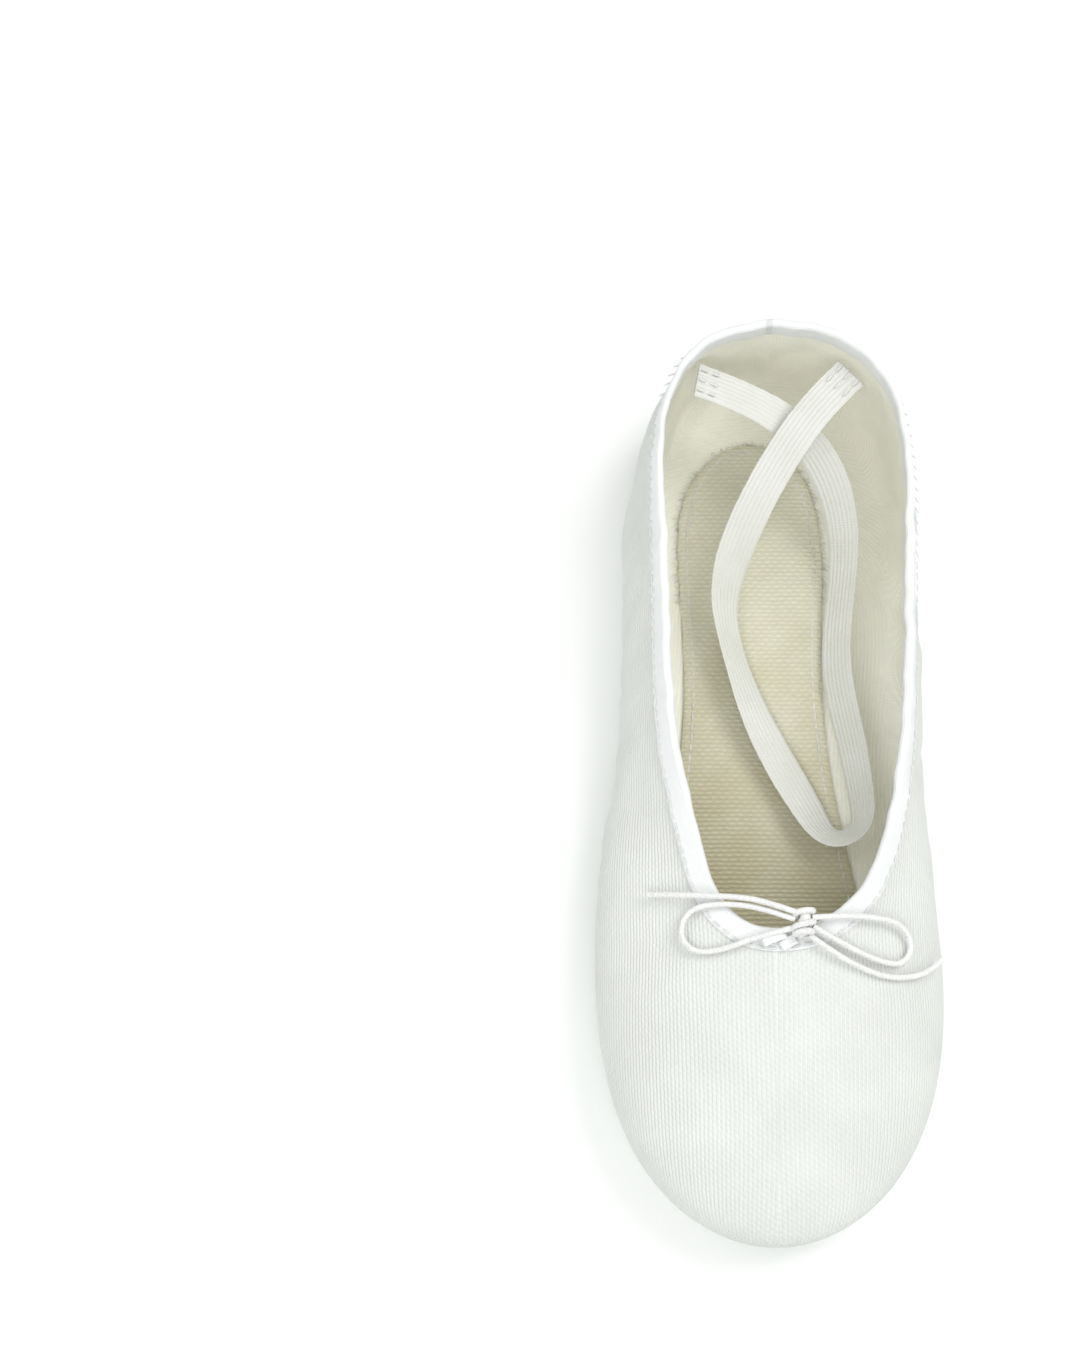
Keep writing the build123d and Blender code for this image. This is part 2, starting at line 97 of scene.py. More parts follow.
def closed_curve(points, samples=2400):
    """Smooth closed curve through a few points, sampled evenly in its chord length."""
    p = np.array(points, float)
    n = len(p)
    h = np.linalg.norm(np.roll(p, -1, 0) - p, axis=1)
    a = np.zeros((n, n))
    b = np.zeros((n, 2))
    for i in range(n):
        before = (i - 1) % n
        a[i, before], a[i, i], a[i, (i + 1) % n] = h[before], 2 * (h[before] + h[i]), h[i]
        b[i] = 6 * ((p[(i + 1) % n] - p[i]) / h[i] - (p[i] - p[before]) / h[before])
    m = np.linalg.solve(a, b)
    ends = np.concatenate([[0], np.cumsum(h)])
    s = np.linspace(0, ends[-1], samples, endpoint=False)
    i = np.clip(np.searchsorted(ends, s, side="right") - 1, 0, n - 1)
    j = (i + 1) % n
    x, y = (s - ends[i])[:, None], (ends[i + 1] - s)[:, None]
    hi = h[i][:, None]
    return (
        m[i] * y**3 / (6 * hi)
        + m[j] * x**3 / (6 * hi)
        + (p[i] / hi - m[i] * hi / 6) * y
        + (p[j] / hi - m[j] * hi / 6) * x
    )


def egg(shape, inset=0.0, samples=16):
    x, y, length, width, taper = shape
    turn = np.linspace(0, 2 * math.pi, samples, endpoint=False)
    return np.stack(
        [
            x + (width / 2 - inset) * np.cos(turn) * (1 - taper * np.sin(turn)),
            y + (length / 2 - inset) * np.sin(turn),
        ],
        1,
    )


def reach(curve, hub, angle):
    """Distance from each hub to the farthest crossing of a plan curve along its angle."""
    result = np.zeros(len(hub))
    for k, (origin, turn) in enumerate(zip(hub, angle)):
        off = curve - origin
        along = off @ np.array([math.cos(turn), math.sin(turn)])
        side = off @ np.array([-math.sin(turn), math.cos(turn)])
        side_next, along_next = np.roll(side, -1), np.roll(along, -1)
        cross = (side * side_next <= 0) & (side != side_next)
        share = side[cross] / (side[cross] - side_next[cross])
        places = along[cross] + share * (along_next[cross] - along[cross])
        result[k] = max(places.max(initial=0), 0)
    return result


BELLY, EDGE = closed_curve(BELLY_PLAN), closed_curve(EDGE_PLAN)
FOREFOOT_EDGE = closed_curve(egg(FOREFOOT_EGG, FOREFOOT_HOLE))
HEEL_EDGE = closed_curve(egg(HEEL_EGG, HEEL_HOLE))
TOE_HUB = np.array([FOREFOOT_EGG[0], FOREFOOT_EGG[1] + FOREFOOT_EGG[2] / 2 - FOREFOOT_HOLE])
HEEL_HUB = np.array([HEEL_EGG[0], HEEL_EGG[1] - HEEL_EGG[2] / 2 + HEEL_HOLE])


def cubic(p, t):
    """Points and slopes of one cubic Bezier curve for each station, at the same shares."""
    t = t[None, :, None]
    u = 1 - t
    q = [np.asarray(c)[:, None, :] for c in p]
    point = u**3 * q[0] + 3 * u * u * t * q[1] + 3 * u * t * t * q[2] + t**3 * q[3]
    slope = (
        3 * u * u * (q[1] - q[0]) + 6 * u * t * (q[2] - q[1]) + 3 * t * t * (q[3] - q[2])
    )
    return point, slope


def edge_height(share):
    """Height of the wall's edge at a share of the way from the throat to the heel."""
    return THROAT_TOP + (HEEL_TOP - THROAT_TOP) * share**RISE_POWER


class Wall:
    """The slipper's wall as upright sections that fan out from its centre line.

    Along a section t runs 0 to 1 over the flat bottom, 1 to 2 up to the widest line and 2 to 3
    up to the edge. Depth is positive outwards. Everything is in millimetres.
    """

    def __init__(self, hub, angle):
        self.hub, self.angle = np.asarray(hub, float), np.asarray(angle, float)
        self.ahead = np.stack([np.cos(self.angle), np.sin(self.angle)], 1)
        wide = reach(BELLY, self.hub, self.angle)
        top = reach(EDGE, self.hub, self.angle)
        hole = np.maximum(reach(FOREFOOT_EDGE, self.hub, self.angle), SEAM_HALF)
        hole = np.maximum(hole, reach(HEEL_EDGE, self.hub, self.angle))
        flat = np.maximum(wide - FLOOR_INSET, hole + 1)
        back = (self.hub[:, 1] + top * self.ahead[:, 1] - EDGE_FRONT) / EDGE_LENGTH
        height = edge_height(np.maximum(back, 0))
        lean = np.arctan2(height - BELLY_HEIGHT, wide - top)
        slope = np.maximum(math.radians(6), 1.3 * lean - math.radians(27))
        pull = 0.42 * np.hypot(wide - top, height - BELLY_HEIGHT)
        rise = BELLY_HEIGHT - FLOOR
        level = np.full_like(wide, FLOOR)
        belly = np.full_like(wide, BELLY_HEIGHT)

        def pair(r, z):
            return np.stack([r, z], 1)

        self.hole, self.flat = hole, flat
        self.turn = (
            pair(flat, level), pair(flat + 0.55 * (wide - flat), level),
            pair(wide, level + 0.4 * rise), pair(wide, belly),
        )
        self.wall = (
            pair(wide, belly), pair(wide, belly + 0.5 * (height - belly)),
            pair(top + pull * np.cos(slope), height - pull * np.sin(slope)), pair(top, height),
        )

    def section(self, t):
        """Radius and height, and the direction along, for every station and share t."""
        t = np.asarray(t, float)
        n = len(self.hub)
        point, slope = np.zeros((n, len(t), 2)), np.zeros((n, len(t), 2))
        low, mid = t <= 1, (t > 1) & (t <= 2)
        high = t > 2
        point[:, low, 0] = self.hole[:, None] + t[low] * (self.flat - self.hole)[:, None]
        point[:, low, 1] = FLOOR
        slope[:, low, 0] = 1
        point[:, mid], slope[:, mid] = cubic(self.turn, t[mid] - 1)
        point[:, high], slope[:, high] = cubic(self.wall, t[high] - 2)
        slope /= np.linalg.norm(slope, axis=2, keepdims=True)
        return point, slope

    def place(self, t, depth=0.0, past=0.0):
        """Points (station, share, xyz) at a depth, and past the edge where t is 3."""
        point, along = self.section(t)
        normal = np.stack([along[..., 1], -along[..., 0]], -1)
        depth = np.broadcast_to(depth, point.shape[:2])[..., None]
        past = np.broadcast_to(past, point.shape[:2])[..., None]
        rz = point + depth * normal + past * along
        return self.space(rz)

    def space(self, rz):
        """Points in space of section points, each a radius from the hub and a height."""
        xy = self.hub[:, None, :] + rz[..., :1] * self.ahead[:, None, :]
        return np.concatenate([xy, rz[..., 1:]], -1)


def ring(toe=64, arch=44, heel=60):
    """Hubs and angles from the back seam down the right side, round the toe and up the left."""
    heel_turn = np.linspace(math.pi / 2, 0, heel, endpoint=False)
    toe_turn = np.linspace(0, -math.pi / 2, toe, endpoint=False)
    share = np.linspace(1, 0, arch, endpoint=False)
    hub = TOE_HUB + share[:, None] * (HEEL_HUB - TOE_HUB)
    hubs = [np.tile(HEEL_HUB, (heel, 1)), hub, np.tile(TOE_HUB, (toe, 1))]
    right_hub = np.concatenate(hubs)
    right_turn = np.concatenate([heel_turn, np.zeros(arch), toe_turn])
    left_hub = right_hub[::-1]
    left_turn = -math.pi - right_turn[::-1]
    hub = np.concatenate([right_hub, [TOE_HUB], left_hub])
    turn = np.concatenate([right_turn, [-math.pi / 2], left_turn])
    return hub, turn


def around(places):
    """Distance travelled round the ring, from the back seam."""
    steps = np.linalg.norm(np.diff(places, axis=0), axis=1)
    return np.concatenate([[0], np.cumsum(steps)])


HUB, TURN = ring()
WALL = Wall(HUB, TURN)
EDGE_LINE = WALL.place([3.0])[:, 0]
EDGE_TRAVEL = around(EDGE_LINE)


def waves(values, lengths, amplitude, seed):
    """A smooth irregular curve: a few sines of given wave lengths with random phases."""
    random = np.random.default_rng(seed)
    total = np.zeros_like(values)
    for length in lengths:
        total += np.sin(2 * math.pi * values / length + random.uniform(0, 2 * math.pi))
    return amplitude * total / len(lengths)


def smooth(x, low, high):
    x = np.clip((x - low) / (high - low), 0, 1)
    return x * x * (3 - 2 * x)


# ---- meshes ----
def mesh_object(name, verts, faces, uv=None, smooth_shade=True):
    mesh = bpy.data.meshes.new(name)
    mesh.from_pydata((np.asarray(verts) * MM).tolist(), [], [tuple(map(int, f)) for f in faces])
    if uv is not None:
        layer = mesh.uv_layers.new(name="UVMap")
        loops = np.zeros(len(mesh.loops), dtype=np.int32)
        mesh.loops.foreach_get("vertex_index", loops)
        layer.data.foreach_set("uv", np.asarray(uv, np.float32)[loops].ravel())
    mesh.validate()
    obj = bpy.data.objects.new(name, mesh)
    bpy.context.collection.objects.link(obj)
    if smooth_shade:
        mesh.shade_smooth()
    return obj


def grid_faces(rows, columns, first=0, flip=False, closed_rows=False, closed_columns=False):
    """Quads of a grid whose vertices are stored row by row."""
    i = np.arange(rows if closed_rows else rows - 1)[:, None]
    j = np.arange(columns if closed_columns else columns - 1)[None, :]
    i2, j2 = (i + 1) % rows, (j + 1) % columns
    faces = np.stack(
        [i * columns + j, i2 * columns + j, i2 * columns + j2, i * columns + j2], -1
    ).reshape(-1, 4) + first
    return faces[:, ::-1] if flip else faces


def shell(name, outer, inner, closed=False, uv=None):
    """Closed sheet between two grids of points (stations by shares)."""
    rows, columns = outer.shape[:2]
    verts = np.concatenate([outer.reshape(-1, 3), inner.reshape(-1, 3)])
    count = rows * columns
    faces = [
        grid_faces(rows, columns, closed_rows=closed),
        grid_faces(rows, columns, first=count, flip=True, closed_rows=closed),
    ]
    i = np.arange(rows if closed else rows - 1)
    i2 = (i + 1) % rows
    low = np.stack([i * columns, i * columns + count, i2 * columns + count, i2 * columns], -1)
    last = columns - 1
    high = np.stack(
        [i * columns + last, i2 * columns + last, i2 * columns + last + count,
         i * columns + last + count], -1
    )
    faces += [low, high]
    if not closed:
        j = np.arange(columns - 1)
        faces.append(np.stack([j, j + 1, j + 1 + count, j + count], -1))
        end = (rows - 1) * columns
        faces.append(np.stack([end + j, end + j + count, end + j + 1 + count, end + j + 1], -1))
    return mesh_object(name, verts, np.concatenate(faces), uv)


# ---- camera, light and floor ----
EYE = (-0.0596, -0.1779, 0.586)  # metres
TILT = 20  # degrees from straight down
LENS, SENSOR = 58.7, 36.0  # millimetres
LAMPS = (  # name, place, aim, size, power and colour
    ("key", (0.55, 0.30, 0.95), (0, 0, 0), 0.7, 5.5, (1.0, 0.995, 0.985)),
    ("front", (-0.1, -0.75, 0.95), (0, 0, 0.02), 0.9, 5.0, (1.0, 1.0, 0.99)),
    ("left", (-0.8, 0.05, 0.95), (0, 0, 0.02), 0.9, 2.6, (1.0, 1.0, 0.99)),
)
ROOM_COLOUR, ROOM_STRENGTH = (0.93, 0.95, 0.94, 1), 0.66
PAPER = (0.93, 0.94, 0.93)


def camera():
    data = bpy.data.cameras.new("view")
    data.sensor_fit = "VERTICAL"
    data.sensor_height = SENSOR
    data.lens = LENS
    eye = bpy.data.objects.new("view", data)
    eye.location = EYE
    eye.rotation_euler = (math.radians(TILT), 0, 0)
    bpy.context.collection.objects.link(eye)
    bpy.context.scene.camera = eye


def area_light(name, place, aim, size, power, colour):
    data = bpy.data.lights.new(name, "AREA")
    data.shape = "DISK"
    data.size = size
    data.energy = power
    data.color = colour
    lamp = bpy.data.objects.new(name, data)
    lamp.location = place
    direction = np.array(aim) - np.array(place)
    lamp.rotation_euler = (
        math.atan2(math.hypot(direction[0], direction[1]), -direction[2]),
        0,
        math.atan2(direction[1], direction[0]) - math.pi / 2,
    )
    bpy.context.collection.objects.link(lamp)


def lighting():
    for lamp in LAMPS:
        area_light(*lamp)
    world = bpy.data.worlds.new("room")
    world.use_nodes = True
    ground = world.node_tree.nodes["Background"]
    ground.inputs["Color"].default_value = ROOM_COLOUR
    ground.inputs["Strength"].default_value = ROOM_STRENGTH
    bpy.context.scene.world = world
    bpy.context.scene.view_settings.view_transform = "Standard"


def floor():
    half = 3000.0
    verts = [(-half, -half, 0), (half, -half, 0), (half, half, 0), (-half, half, 0)]
    board = mesh_object("floor", verts, [(0, 1, 2, 3)], smooth_shade=False)
    tree = Nodes("floor_paper")
    noise = tree.noise(tree.place(), 900.0, 3.0)
    tree.surface(PAPER, 0.9, noise, 0.02, 0.0002, spread=0.01)
    board.data.materials.append(tree.material)


# ---- materials ----
class Nodes:
    """A small builder of procedural materials; lengths in the shaders are metres or UV mm."""

    def __init__(self, name):
        self.material = bpy.data.materials.new(name)
        self.material.use_nodes = True
        self.tree = self.material.node_tree
        self.shader = self.tree.nodes["Principled BSDF"]

    def add(self, kind, settings=(), **inputs):
        node = self.tree.nodes.new(kind)
        for key, value in dict(settings).items():
            setattr(node, key, value)
        for key, value in inputs.items():
            self.feed(node.inputs[key.replace("_", " ")], value)
        return node

    def feed(self, socket, value):
        if isinstance(value, bpy.types.NodeSocket):
            self.tree.links.new(value, socket)
        else:
            socket.default_value = value

    def place(self):
        return self.add("ShaderNodeNewGeometry").outputs["Position"]

    def uv(self):
        return self.add("ShaderNodeUVMap", {"uv_map": "UVMap"}).outputs["UV"]

    def math(self, operation, *values):
        node = self.add("ShaderNodeMath", {"operation": operation})
        for socket, value in zip(node.inputs, values):
            self.feed(socket, value)
        return node.outputs[0]

    def split(self, vector):
        node = self.add("ShaderNodeSeparateXYZ", Vector=vector)
        return node.outputs["X"], node.outputs["Y"], node.outputs["Z"]

    def noise(self, vector, scale, detail=3.0, rough=0.55):
        node = self.add(
            "ShaderNodeTexNoise", Vector=vector, Scale=scale, Detail=detail, Roughness=rough
        )
        return node.outputs["Fac"]

    def warp(self, vector, scale, amount):
        """The same coordinates, pushed about by a slow noise so that threads aren't ruled."""
        noise = self.add("ShaderNodeTexNoise", Vector=vector, Scale=scale, Detail=2.0)
        shift = self.add("ShaderNodeVectorMath", {"operation": "MULTIPLY_ADD"})
        self.feed(shift.inputs[0], noise.outputs["Color"])
        self.feed(shift.inputs[1], (amount,) * 3)
        self.feed(shift.inputs[2], vector)
        return shift.outputs[0]

    def wave(self, value, pitch, phase=0.0):
        turn = self.math("MULTIPLY_ADD", value, 2 * math.pi / pitch, phase)
        return self.math("MULTIPLY_ADD", self.math("SINE", turn), 0.5, 0.5)

    def weave(self, u, v, pitch_u, pitch_v, rib=0.6):
        """Height of a plain weave: rows of ribs with the crossing threads beaded over them."""
        ribs = self.wave(u, pitch_u)
        column = self.math("FLOOR", self.math("DIVIDE", u, pitch_u))
        offset = self.math("MULTIPLY", column, math.pi)
        turn = self.math("MULTIPLY_ADD", v, 2 * math.pi / pitch_v, offset)
        bead = self.math("MULTIPLY_ADD", self.math("SINE", turn), 0.5, 0.5)
        beaded = self.math("MULTIPLY", ribs, bead)
        return self.math(
            "ADD", self.math("MULTIPLY", ribs, rib), self.math("MULTIPLY", beaded, 1 - rib)
        )

    def ramp(self, value, low, high, stops=(0.0, 1.0)):
        node = self.add("ShaderNodeValToRGB", Fac=value)
        first, last = node.color_ramp.elements
        first.position, last.position = stops
        first.color, last.color = (*low, 1), (*high, 1)
        return node.outputs["Color"]

    def blend(self, share, a, b, mode="MIX"):
        node = self.add("ShaderNodeMix", {"data_type": "RGBA", "blend_type": mode})
        self.feed(node.inputs["Factor"], share)
        self.feed(node.inputs["A"], a if isinstance(a, bpy.types.NodeSocket) else (*a, 1))
        self.feed(node.inputs["B"], b if isinstance(b, bpy.types.NodeSocket) else (*b, 1))
        return node.outputs["Result"]

    def surface(self, colour, rough, height, strength, depth, spread=0.05, sheen=0.0):
        """Colour darkened in the low places of the height as painted shade in the hollows, by up
        to twice the spread, with the height as bump.
        """
        # painted shade: the colour is multiplied down where the height is low, between threads,
        # strands and fibres
        low = self.math("MULTIPLY_ADD", height, 2 * spread, 1 - 2 * spread)
        shade = self.add("ShaderNodeCombineColor", Red=low, Green=low, Blue=low)
        mixed = self.blend(1.0, colour, shade.outputs["Color"], "MULTIPLY")
        self.feed(self.shader.inputs["Base Color"], mixed)
        self.shader.inputs["Roughness"].default_value = rough
        self.shader.inputs["Sheen Weight"].default_value = sheen
        self.shader.inputs["Specular IOR Level"].default_value = 0.25
        bump = self.add("ShaderNodeBump", Strength=strength, Distance=depth, Height=height)
        self.feed(self.shader.inputs["Normal"], bump.outputs["Normal"])


def woven(name, colour, pitch_u, pitch_v, rib, depth, spread=0.06, stain=0.03, strength=0.7):
    """Woven cotton over UV millimetres, with uneven threads, slubs and slow shade changes."""
    tree = Nodes(name)
    uv = tree.warp(tree.uv(), 0.35, 0.35)
    u, v, _ = tree.split(uv)
    threads = tree.weave(u, v, pitch_u, pitch_v, rib)
    fine = tree.noise(tree.uv(), 3.0, 4.0)
    height = tree.math("MULTIPLY_ADD", fine, 0.35, threads)
    slow = tree.noise(tree.place(), 45.0, 3.0)
    dull = tuple(c * (1 - 2 * stain) for c in colour)
    tinted = tree.ramp(slow, dull, colour, (0.35, 0.65))
    tree.surface(tinted, 0.88, height, strength, depth, spread, 0.12)
    return tree.material


def insole_cloth():
    tree = Nodes("insole_canvas")
    uv = tree.warp(tree.uv(), 0.3, 0.5)
    u, v, _ = tree.split(uv)
    threads = tree.weave(v, u, 1.26, 2.46, 0.3)
    fine = tree.noise(tree.uv(), 2.5, 4.0)
    height = tree.math("MULTIPLY_ADD", fine, 0.5, threads)
    # painted shade: the insole turns darker and browner towards the toe, where it runs in under
    # the vamp; the slow noise adds random patches of tone
    _, y, _ = tree.split(tree.place())
    slow = tree.noise(tree.place(), 60.0, 4.0)
    share = tree.math("ADD", tree.math("MULTIPLY", y, 6.0), slow)
    colour = tree.ramp(share, (0.58, 0.52, 0.33), (0.78, 0.76, 0.62), (0.05, 0.85))
    tree.surface(colour, 0.92, height, 0.8, 0.0004, 0.10, 0.05)
    return tree.material


def cord_braid(name, colour, scale=1500.0):
    """Small crossing strands of a braided or twisted cord."""
    tree = Nodes(name)
    cell = tree.add("ShaderNodeTexVoronoi", Vector=tree.place(), Scale=scale)
    fibres = tree.noise(tree.place(), scale * 2.2, 3.0)
    strands = tree.math("SUBTRACT", 1.0, cell.outputs["Distance"])
    height = tree.math("MULTIPLY_ADD", fibres, 0.6, strands)
    slow = tree.noise(tree.place(), 140.0, 2.0)
    tinted = tree.ramp(slow, tuple(c * 0.93 for c in colour), colour, (0.3, 0.7))
    tree.surface(tinted, 0.8, height, 0.8, 0.0003, 0.08, 0.1)
    return tree.material


def elastic_rib():
    tree = Nodes("elastic_rib")
    u, v, _ = tree.split(tree.warp(tree.uv(), 0.5, 0.08))
    ribs = tree.wave(u, 1.25)
    cross = tree.wave(v, 0.7)
    height = tree.math("MULTIPLY_ADD", cross, 0.45, ribs)
    slow = tree.noise(tree.place(), 80.0, 3.0)
    tinted = tree.ramp(slow, (0.68, 0.68, 0.635), (0.73, 0.73, 0.695), (0.3, 0.7))
    tree.surface(tinted, 0.75, height, 0.5, 0.0002, 0.03, 0.1)
    return tree.material


def suede():
    """Split leather: short nap in patches that lie different ways, with scuffs."""
    tree = Nodes("suede_nap")
    place = tree.place()
    nap = tree.noise(place, 2600.0, 5.0, 0.7)
    brushed = tree.noise(place, 260.0, 4.0, 0.6)
    height = tree.math("MULTIPLY_ADD", brushed, 0.8, nap)
    cloud = tree.noise(place, 75.0, 5.0, 0.6)
    tinted = tree.ramp(cloud, (0.50, 0.50, 0.49), (0.60, 0.60, 0.585), (0.3, 0.7))
    tree.surface(tinted, 0.97, height, 0.7, 0.0005, 0.10, 0.35)
    return tree.material


def felt():
    tree = Nodes("pad_felt")
    fibres = tree.noise(tree.place(), 1800.0, 5.0, 0.7)
    slow = tree.noise(tree.place(), 120.0, 3.0)
    tinted = tree.ramp(slow, (0.62, 0.61, 0.57), (0.72, 0.71, 0.67), (0.3, 0.7))
    tree.surface(tinted, 0.95, fibres, 0.6, 0.0004, 0.08, 0.1)
    return tree.material


MATERIALS = {
    "canvas": woven("canvas_rib", (0.81, 0.828, 0.795), 0.98, 1.75, 0.45, 0.0005),
    "lining": woven("lining_twill", (0.99, 0.98, 0.885), 0.8, 0.9, 0.5, 0.0002, 0.03, 0.03),
    "binding": woven("binding_tape", (0.87, 0.885, 0.89), 0.6, 0.6, 0.3, 0.00015, 0.03, 0.02),
    "strip": woven("heel_tape", (0.85, 0.85, 0.82), 0.9, 0.9, 0.4, 0.0003),
    "insole": insole_cloth(),
    "cord": cord_braid("drawstring_braid", (0.86, 0.86, 0.85)),
    "thread": cord_braid("white_thread", (0.88, 0.88, 0.86), 3200.0),
    "elastic": elastic_rib(),
    "suede": suede(),
    "felt": felt(),
}


def dress(obj, material):
    obj.data.materials.clear()
    obj.data.materials.append(MATERIALS[material])
    return obj


def across_flex(obj, *nodes):
    """A soft piece, which on the real slipper bends over the arch as the heel lifts; here its
    transform is only baked into its mesh and the CAD nodes it replaces are hidden.
    """
    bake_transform(obj)
    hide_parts(*nodes)
    return obj


# ---- the bow's cords and knot ----
KNOT = np.array([7.0, -46.6, 42.0])
KNOT_SIZE = (9.2, 5.0)
KNOT_TURNS = 2.6
LOOP_LEFT = [
    (4.9, -45.6, 41.8), (-3.5, -42.5, 41.8), (-12.5, -41.3, 41.3), (-20.2, -41.9, 39.9),
    (-23.6, -45.2, 38.5), (-23.7, -50.0, 37.8), (-20.2, -53.4, 38.2), (-13.3, -52.9, 39.3),
    (-4.5, -49.7, 40.8), (4.6, -47.7, 41.7),
]
TAIL_LEFT = [
    (5.3, -44.1, 43.1), (-3, -41.0, 43.1), (-11, -39.8, 42.5), (-19, -39.2, 40.9),
    (-26, -38.2, 37.9), (-32, -37.4, 34.6),
]
LOOP_RIGHT = [
    (9.2, -45.2, 42.2), (17, -44.4, 41.4), (24.8, -44.4, 39.2), (31.6, -44.9, 36.2),
    (35.0, -48.1, 34.5), (35.1, -52.7, 33.8), (31.6, -56.0, 34.8), (24.8, -54.8, 37.4),
    (17.3, -51.5, 39.5), (9.4, -47.4, 41.9),
]
TAIL_RIGHT = [
    (8.4, -49.4, 41.0), (15, -54.0, 39.9), (22, -57.4, 37.7), (29, -59.2, 35.2),
    (36, -58.4, 32.5), (41.2, -55.8, 30.6), (44.0, -52.8, 29.9),
]


def nurbs(name, route, thickness):
    """A smooth cord whose route's points are its control points, in millimetres."""
    curve = bpy.data.curves.new(name, "CURVE")
    curve.dimensions = "3D"
    spline = curve.splines.new("NURBS")
    spline.points.add(len(route) - 1)
    for point, (x, y, z) in zip(spline.points, route):
        point.co = (x * MM, y * MM, z * MM, 1)
    spline.order_u = 3
    spline.use_endpoint_u = True
    spline.resolution_u = 12
    curve.bevel_depth = thickness / 2 * MM
    curve.bevel_resolution = 5
    curve.use_fill_caps = True
    obj = bpy.data.objects.new(name, curve)
    bpy.context.collection.objects.link(obj)
    return obj


def bow():
    cords = (
        ("bow_cord_loop_left", LOOP_LEFT, 65.4, "knot", "bow_loop_left"),
        ("bow_cord_tail_left", TAIL_LEFT, 39.7, "bare", "bow_tail_left"),
        ("bow_cord_loop_right", LOOP_RIGHT, 62.0, "knot", "bow_loop_right"),
        ("bow_cord_tail_right", TAIL_RIGHT, 41.5, "bare", "bow_tail_right"),
    )
    for name, route, length, end, node in cords:
        piece = dress(nurbs(name, route, CORD), "cord")
        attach(piece, "root")
        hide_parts(node)
    knot()


def tube(name, path, radius, sides, twist, ply, closed=False):
    """Mesh tube along many points, its section slightly lobed by the strands it is laid from."""
    path = np.asarray(path, float)
    n = len(path)
    if closed:
        tangent = np.roll(path, -1, 0) - np.roll(path, 1, 0)
    else:
        tangent = np.gradient(path, axis=0)
    tangent /= np.linalg.norm(tangent, axis=1, keepdims=True)
    side = np.zeros_like(path)
    start = np.cross(tangent[0], [0.3, 0.2, 1.0])
    side[0] = start / np.linalg.norm(start)
    for k in range(1, n):
        s = side[k - 1] - tangent[k] * (side[k - 1] @ tangent[k])
        side[k] = s / np.linalg.norm(s)
    other = np.cross(tangent, side)
    travel = around(path)
    turn = np.linspace(0, 2 * math.pi, sides, endpoint=False)
    lobes = 1 + ply * np.cos(3 * (turn[None, :] + twist * travel[:, None]))
    ring_points = (
        path[:, None, :]
        + radius * lobes[..., None] * (
            np.cos(turn)[None, :, None] * side[:, None, :]
            + np.sin(turn)[None, :, None] * other[:, None, :]
        )
    )
    verts = ring_points.reshape(-1, 3)
    faces = grid_faces(n, sides, closed_rows=closed, closed_columns=True).tolist()
    if not closed:
        faces.append(list(range(sides)))
        faces.append(list(range((n - 1) * sides, n * sides))[::-1])
    return mesh_object(name, verts, faces)


def knot():
    """The cord wound round the bow's middle, its turns drawn tight against each other."""
    length, thick = KNOT_SIZE
    s = np.linspace(0, 1, 200)
    angle = 2 * math.pi * KNOT_TURNS * s - 0.8
    wide = thick / 2 - CORD * 0.42
    x = KNOT[0] + (wide * 1.25) * np.cos(angle) + 0.35 * np.sin(2 * math.pi * s)
    z = KNOT[2] + wide * np.sin(angle)
    y = KNOT[1] + (length / 2 - CORD * 0.75) * (1 - 2 * s) + 0.5 * np.sin(angle * 0.5)
    wrap = tube("bow_knot_wrap", np.stack([x, y, z], 1), CORD * 0.56, 14, 2.2, 0.05)
    dress(wrap, "cord")
    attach(wrap, "root")
    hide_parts("bow_knot")
    core_y = np.linspace(-1, 1, 40)
    core = np.stack(
        [
            KNOT[0] + 0.5 * np.sin(core_y * 3),
            KNOT[1] + core_y * (length / 2 - 1.2),
            KNOT[2] + 0.3 * np.cos(core_y * 2),
        ],
        1,
    )
    heart = tube("bow_knot_heart", core, CORD * 0.95, 14, 1.5, 0.08)
    dress(heart, "cord")
    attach(heart, "root")


# ---- the canvas, its lining and the bound edge ----
CREST = Wall([TOE_HUB], [-math.pi / 2]).place(np.linspace(2, 3, 80))[0]


def crest_height(y):
    """Height of the crease over the foot at each y, which the cloth's ribs follow."""
    on_toe = np.interp(y, CREST[:, 1], CREST[:, 2])
    share = np.clip((y - EDGE_FRONT) / EDGE_LENGTH, 0, 1)
    return np.where(y < EDGE_FRONT, on_toe, edge_height(share))


SIDE_FROM = 6.0  # height in millimetres above which a face belongs to the side


def weave_direction(obj):
    """Cloth coordinates in millimetres: across the ribs, which run along the foot, and along.

    Each face takes them from its own side and level, so they never smear over a seam.
    """
    mesh = obj.data
    count = len(mesh.loops)
    corner = np.zeros(count, dtype=np.int32)
    mesh.loops.foreach_get("vertex_index", corner)
    place = np.zeros(len(mesh.vertices) * 3)
    mesh.vertices.foreach_get("co", place)
    middle = np.zeros(len(mesh.polygons) * 3)
    mesh.polygons.foreach_get("center", middle)
    sides = np.zeros(len(mesh.polygons), dtype=np.int32)
    mesh.polygons.foreach_get("loop_total", sides)
    x, y, z = place.reshape(-1, 3)[corner].T / MM
    middle = np.repeat(middle.reshape(-1, 3), sides, axis=0) / MM
    aside = np.abs(x - HEEL_HUB[0] * smooth(y, 0, HEEL_HUB[1]))
    behind = np.maximum(y - HEEL_HUB[1], 0)
    outward = np.hypot(aside, behind)
    down = np.where(middle[:, 2] > SIDE_FROM, crest_height(y) - z, 0)
    across = 0.8 * np.where(middle[:, 0] > 0, 1, -1) * (outward + down)
    along = np.minimum(y, HEEL_HUB[1]) + outward * np.arctan2(behind, aside) + 0.5 * z
    layer = mesh.uv_layers.new(name="UVMap")
    uv = np.stack([across, along], 1).astype(np.float32)
    layer.data.foreach_set("uv", uv.ravel())


